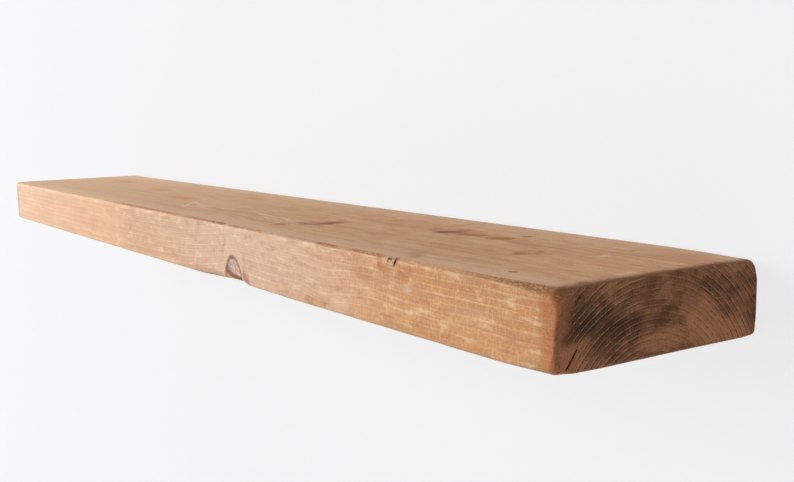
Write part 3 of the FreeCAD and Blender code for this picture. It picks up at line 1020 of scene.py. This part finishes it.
def plank_mesh():
    """The plank as one closed grid of faces, with fine lines at the edges, the knots and the chip."""
    along, deep, down = lattice_places()
    last = (len(along) - 1, len(deep) - 1, len(down) - 1)
    mesh = bmesh.new()
    corners = {}

    def corner(i, j, k):
        if (i, j, k) not in corners:
            across, inward, below = plank_point(along[i], deep[j], down[k])
            corners[i, j, k] = mesh.verts.new(
                (board_low.x + across * MM, board_low.y + inward * MM, board_high.z - below * MM))
        return corners[i, j, k]

    for i in range(last[0]):
        for j in range(last[1]):
            for k, flip in ((0, False), (last[2], True)):
                ring = [corner(i, j, k), corner(i + 1, j, k), corner(i + 1, j + 1, k), corner(i, j + 1, k)]
                mesh.faces.new(reversed(ring) if flip else ring)
        for k in range(last[2]):
            for j, flip in ((0, True), (last[1], False)):
                ring = [corner(i, j, k), corner(i + 1, j, k), corner(i + 1, j, k + 1), corner(i, j, k + 1)]
                mesh.faces.new(reversed(ring) if flip else ring)
    for j in range(last[1]):
        for k in range(last[2]):
            for i, flip in ((0, False), (last[0], True)):
                ring = [corner(i, j, k), corner(i, j + 1, k), corner(i, j + 1, k + 1), corner(i, j, k + 1)]
                mesh.faces.new(reversed(ring) if flip else ring)
    return closed("shelf_plank", mesh)


def cutter(name, outline, reach, end_scale=1.0):
    """A closed prism to cut with, from an outline along reach, both in metres, narrowed at its end."""
    mesh = bmesh.new()
    centre = sum(outline, Vector()) / len(outline)
    first = [mesh.verts.new(point) for point in outline]
    second = [mesh.verts.new(centre + (point - centre) * end_scale + reach) for point in outline]
    count = len(outline)
    for n in range(count):
        m = (n + 1) % count
        mesh.faces.new((first[n], first[m], second[m], second[n]))
    mesh.faces.new(reversed(first))
    mesh.faces.new(second)
    return link(name, closed(name, mesh))


def circle(centre, radius, sides):
    """Outline of a circle in XZ."""
    angles = [2 * math.pi * n / sides for n in range(sides)]
    return [centre + Vector((math.cos(angle), 0, math.sin(angle))) * radius for angle in angles]


def rounded_rectangle(low, high, y, radius, steps=6):
    """Outline of a rectangle in XZ with round corners."""
    points = []
    for corner, (x, z) in enumerate((
        (high.x - radius, high.z - radius), (low.x + radius, high.z - radius),
        (low.x + radius, low.z + radius), (high.x - radius, low.z + radius),
    )):
        for step in range(steps + 1):
            angle = math.pi / 2 * (corner + step / steps)
            points.append(Vector((x + radius * math.cos(angle), y, z + radius * math.sin(angle))))
    return points


def lens(start, end, outward, widths):
    """Outline of a crack from start to end on a face, from its widths at shares of its length."""
    across = (end - start).cross(outward).normalized()
    one_side = [start.lerp(end, share) + across * width / 2 for share, width in widths]
    other_side = [start.lerp(end, share) - across * width / 2 for share, width in widths]
    return one_side + other_side[::-1]


def pocket_cutter(name):
    """Room in the back of the plank for a plate."""
    low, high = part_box(f"plate_{name}")
    gap = POCKET_CLEARANCE * MM
    low = low - Vector((gap, POCKET_FLOOR_CLEARANCE * MM, gap))
    high = high + Vector((gap, BOOLEAN_OVERRUN * MM, gap))
    outline = rounded_rectangle(low, high, low.y, POCKET_CORNER_RADIUS * MM)
    return cutter(f"pocket_cutter_{name}", outline, Vector((0, high.y - low.y, 0)))


def bore_cutter(name):
    """Room in the plank for a rod."""
    low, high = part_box(f"rod_{name}")
    radius = (high.x - low.x) / 2 + BORE_CLEARANCE * MM
    centre = Vector(((low.x + high.x) / 2, high.y, (low.z + high.z) / 2))
    depth = high.y - low.y + BORE_TIP_CLEARANCE * MM
    return cutter(f"bore_cutter_{name}", circle(centre, radius, BORE_SIDES), Vector((0, -depth, 0)))


def crack_cutter(name, start, end, outward, widths, depth):
    """A thin wedge from just outside a face into the wood; places in millimetres."""
    outline = lens(start, end, outward, widths)
    outline = [(point + outward * BOOLEAN_OVERRUN) * MM for point in outline]
    return cutter(name, outline, outward * -(depth + BOOLEAN_OVERRUN) * MM, CRACK_TAPER)


def crack_cutters():
    """The crack in the right end and the open marks of the knot at the upper front edge."""
    to_right, to_room = Vector((1, 0, 0)), Vector((0, -1, 0))
    start, end = on_end(*CRACK_START), on_end(*CRACK_END)
    made = [crack_cutter("end_crack_cutter", start, end, to_right, CRACK_WIDTHS, CRACK_DEPTH)]
    for number, (start, end, half_width, _) in enumerate(EDGE_KNOT_MARKS):
        widths = [(share, width * half_width) for share, width in MARK_WIDTHS]
        name = f"edge_mark_cutter_{number}"
        made.append(crack_cutter(name, on_front(*start), on_front(*end), to_room, widths, MARK_DEPTH))
    return made


def cut(obj, cutters):
    """Cuts the cutters out of obj for good, and removes them."""
    for tool in cutters:
        modifier = obj.modifiers.new("cut", "BOOLEAN")
        modifier.operation = "DIFFERENCE"
        modifier.solver = "EXACT"
        modifier.object = tool
    graph = bpy.context.evaluated_depsgraph_get()
    result = bpy.data.meshes.new_from_object(obj.evaluated_get(graph))
    obj.modifiers.clear()
    obj.data = result
    for tool in cutters:
        bpy.data.objects.remove(tool)


def plank():
    """The plank, which stands for the plain board."""
    obj = link("shelf_plank", plank_mesh())
    cutters = crack_cutters()
    for name in SUPPORTS:
        cutters += [pocket_cutter(name), bore_cutter(name)]
    cut(obj, cutters)
    obj.data.materials.clear()
    obj.data.materials.append(wood_material())
    obj.data.shade_smooth()
    obj.data.set_sharp_from_angle(angle=SHARP_ANGLE)
    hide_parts("shelf_board")
    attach(obj, "board")


def steel_material(name, colour, dark, roughness, lay):
    """Plated steel with fine drawn lines, dull patches and small marks."""
    graph = Graph(name)
    place, _ = graph.place()
    lines = graph.noise(place, lay, 3.0, 0.6)
    patch = graph.noise(place, (0.12, 0.12, 0.12), 3.0, 0.6)
    tone = graph.stain(colour, dark, patch, 0.35, 0.7)
    tone = graph.stain(tone, dark, lines, 0.5, 0.75, 0.35)
    rough = graph.plus(roughness, (lines, 0.12), (patch, 0.22))
    normal = graph.bump(lines, STEEL_RELIEF * MM)
    return graph.surface(tone, rough, normal, Metallic=1.0)


def nylon_material():
    """Matt moulded nylon with a faint flow pattern."""
    graph = Graph("moulded_nylon")
    place, _ = graph.place()
    flow = graph.noise(place, (0.5, 0.12, 0.5), 3.0, 0.6)
    grain = graph.noise(place, (3.0, 3.0, 3.0), 2.0, 0.6)
    tone = graph.stain(rgb(150, 150, 148), rgb(132, 132, 131), flow, 0.3, 0.7)
    rough = graph.plus(0.42, (grain, 0.2))
    normal = graph.bump(grain, NYLON_RELIEF * MM)
    return graph.surface(tone, rough, normal)


# Steel finishes: material, colour, darker colour, roughness, fineness of the lines along each axis
STEELS = {
    "plate": ("zinc_plate", rgb(196, 199, 204), rgb(150, 154, 160), 0.30, (0.05, 1.0, 2.4)),
    "rod_bolt": ("black_oxide", rgb(58, 57, 58), rgb(34, 33, 34), 0.34, (1.0, 1.0, 1.0)),
    "rod": ("drawn_bar", rgb(206, 208, 211), rgb(160, 163, 168), 0.22, (2.6, 0.04, 2.6)),
    "wall_screw": ("yellow_zinc", rgb(212, 184, 118), rgb(168, 132, 72), 0.24, (1.0, 0.3, 1.0)),
}


def dress_hardware():
    """Finishes of the steel and nylon pieces, by the first words of their names."""
    finishes = {kind: steel_material(*values) for kind, values in STEELS.items()}
    finishes["wall_plug"] = nylon_material()
    for name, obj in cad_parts.items():
        kinds = [kind for kind in finishes if name.startswith(kind)]
        if kinds:
            obj.data.materials.clear()
            obj.data.materials.append(finishes[max(kinds, key=len)])


# Stage, in metres
WALL_GAP = 0.0005
WALL_HALF_WIDTH = 6.0
WALL_TOP = 2.6
FLOOR_LEVEL = -1.2
FLOOR_REACH = 7.0

# Stage paints: colour, colour where looked at, share of the second
WALL_PAINT = ((0.66, 0.66, 0.67, 1), (0.955, 0.955, 0.97, 1), 0.8)
FLOOR_PAINT = ((0.72, 0.72, 0.72, 1), (0.93, 0.93, 0.93, 1), 0.6)
PAINT_GRAIN = (160, 160, 160)


def stage_paint(name, colour, seen, seen_share):
    """A matt paint that shows from its front only, evened out towards white where it is looked at."""
    graph = Graph(name)
    coords = graph.node("ShaderNodeTexCoord")
    grain = graph.noise(coords.outputs["Object"], PAINT_GRAIN, 2.0, 0.6)
    paint = graph.node("ShaderNodeBsdfDiffuse", colour)
    graph.put(paint.inputs["Normal"], graph.bump(grain, PAINT_RELIEF * MM))
    glow = graph.node("ShaderNodeEmission", seen)
    share = graph.mul(graph.looked_at(), seen_share)
    even = graph.node("ShaderNodeMixShader", share, paint.outputs[0], glow.outputs[0])
    clear = graph.node("ShaderNodeBsdfTransparent")
    behind = graph.node("ShaderNodeNewGeometry").outputs["Backfacing"]
    return graph.shown(graph.node("ShaderNodeMixShader", behind, even.outputs[0], clear.outputs[0]))


def backdrop():
    """The wall that the shelf hangs on, and the floor below it."""
    wide, back, low = WALL_HALF_WIDTH, WALL_GAP, FLOOR_LEVEL
    foot = ((-wide, back, low), (wide, back, low))
    head = ((wide, back, WALL_TOP), (-wide, back, WALL_TOP))
    near = ((-wide, -FLOOR_REACH, low), (wide, -FLOOR_REACH, low))
    for name, corners, paint in (
        ("wall", foot + head, WALL_PAINT),
        ("floor", near + foot[::-1], FLOOR_PAINT),
    ):
        mesh = bpy.data.meshes.new(name)
        mesh.from_pydata(corners, [], [(0, 1, 2, 3)])
        mesh.materials.append(stage_paint(f"{name}_paint", *paint))
        link(mesh.name, mesh)


def area_light(name, place, aim, size, power):
    """A soft lamp that the camera does not see."""
    lamp = bpy.data.lights.new(name, "AREA")
    lamp.shape = "RECTANGLE"
    lamp.size, lamp.size_y = size
    lamp.energy = power
    obj = link(name, lamp)
    obj.location = place
    obj.rotation_euler = (Vector(aim) - Vector(place)).to_track_quat("-Z", "Y").to_euler()
    obj.visible_camera = False


# Lamps: place, aim, size in metres, power in watts
LAMPS = {
    "soft_key": ((-2.6, -3.4, 0.95), (0.0, -0.05, 0.0), (2.4, 2.0), 116),
    "side_window": ((-5.5, -2.8, 0.6), (0.0, -0.1, 0.0), (3.4, 2.4), 100),
}
WORLD_LIGHT = 0.42
WORLD_SEEN = 0.92


def lights():
    """Soft light from the front left, a bright window far to the left, and an even white room."""
    for name, values in LAMPS.items():
        area_light(name, *values)
    room = Graph("room", "World")
    strength = room.span(room.looked_at(), 0.0, 1.0, WORLD_LIGHT, WORLD_SEEN, kind="LINEAR")
    bpy.context.scene.world = room.shown(room.node("ShaderNodeBackground", (1, 1, 1, 1), strength))


def camera():
    """The photograph's camera."""
    azimuth, elevation, roll = (math.radians(v) for v in (CAMERA_AZIMUTH, CAMERA_ELEVATION, CAMERA_ROLL))
    level = math.cos(elevation)
    back = Vector((math.sin(azimuth) * level, -math.cos(azimuth) * level, math.sin(elevation)))
    right = (-back).cross(Vector((0, 0, 1))).normalized()
    up = right.cross(-back)
    turned_right = right * math.cos(roll) + up * math.sin(roll)
    turned_up = up * math.cos(roll) - right * math.sin(roll)
    data = bpy.data.cameras.new("camera")
    data.sensor_width = SENSOR_WIDTH
    data.lens = FOCAL_LENGTH_PX / PHOTO_WIDTH_PX * SENSOR_WIDTH
    data.clip_start = 0.01
    obj = link("camera", data)
    turn = Matrix((turned_right, turned_up, back)).transposed().to_4x4()
    obj.matrix_world = Matrix.Translation(Vector(CAMERA_PLACE) * MM) @ turn
    bpy.context.scene.camera = obj


plank()
dress_hardware()
backdrop()
lights()
camera()
bpy.context.scene.view_settings.view_transform = "Standard"
